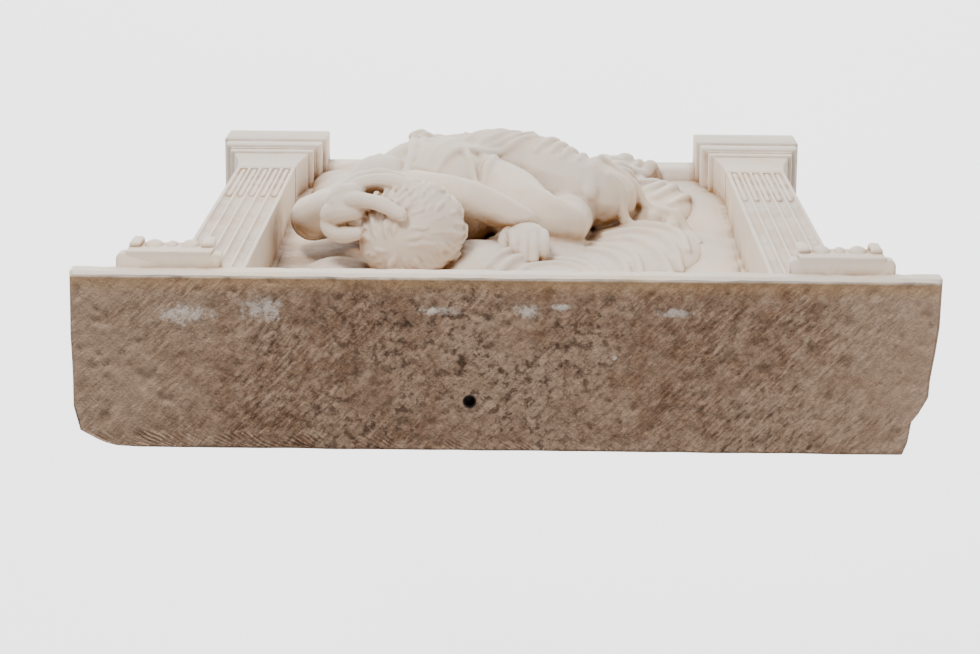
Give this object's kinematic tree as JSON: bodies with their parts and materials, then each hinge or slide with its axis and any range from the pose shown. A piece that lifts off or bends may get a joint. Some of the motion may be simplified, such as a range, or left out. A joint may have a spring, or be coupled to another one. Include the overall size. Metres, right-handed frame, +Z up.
{
  "type": "marble relief plaque",
  "caption": "Carved marble wall plaque: fluted pilasters and a plain lintel frame a panel where a seated draped figure bows its head on a raised knee; rough top face, worn corners",
  "frame": {"origin": "Centre of the flat back face, halfway between the top and the foot and between the two sides.", "axes": "+Z up along the plaque's height, +Y out of the back face into the wall, so the carving faces -Y; +X to the right seen from the front."},
  "size_m": [0.6, 0.14, 0.87],
  "materials": {
    "marble": "hand-carved white marble with a cream patina, ochre dirt in the hollows and a rough, brown-stained top face"
  },
  "bodies": {
    "root": {"relief_plaque": "marble"}
  },
  "joints": []
}
